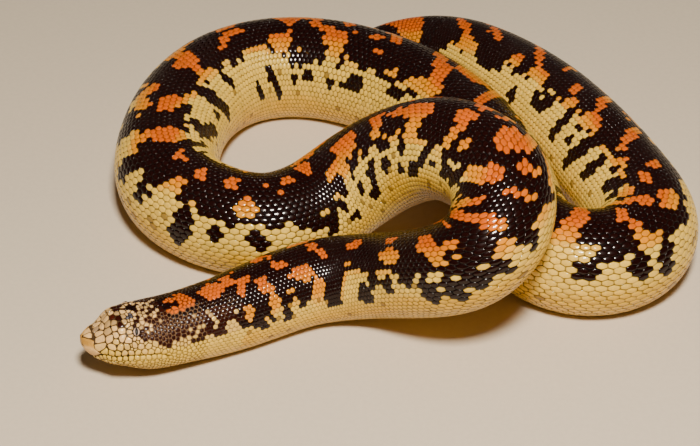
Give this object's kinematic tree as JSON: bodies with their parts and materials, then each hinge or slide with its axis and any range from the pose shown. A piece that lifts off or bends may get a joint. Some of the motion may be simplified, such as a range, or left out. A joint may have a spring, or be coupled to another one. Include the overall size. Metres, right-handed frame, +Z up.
{
  "type": "coiled sand boa",
  "caption": "Life-size model of a stout burrowing snake resting in a loose coil, one loop of its body lying over the others and its small wedge-shaped head reaching out.",
  "frame": {"origin": "middle of the footprint, at the level of the flats that the belly rests on", "axes": "+Z up, the shortest extent; +Y from the head's side of the coil towards the tail; -X the way the head points"},
  "size_m": [0.1834, 0.189, 0.0602],
  "materials": {
    "head_skin": "small glossy plates, pale straw with dark seams",
    "body_skin": "small smooth glossy scales, blotched dark brown, orange and cream",
    "eye": "clear, wet-looking eye cap"
  },
  "bodies": {
    "root": {"head": "head_skin", "eye_left": "eye", "eye_right": "eye", "neck": "body_skin", "trunk_01": "body_skin", "trunk_02": "body_skin", "trunk_03": "body_skin", "trunk_04": "body_skin", "trunk_05": "body_skin", "trunk_06": "body_skin", "trunk_07": "body_skin", "trunk_08": "body_skin", "trunk_09": "body_skin", "trunk_10": "body_skin", "trunk_11": "body_skin", "trunk_12": "body_skin", "trunk_13": "body_skin", "trunk_14": "body_skin", "trunk_15": "body_skin", "trunk_16": "body_skin", "tail": "body_skin"}
  },
  "joints": []
}
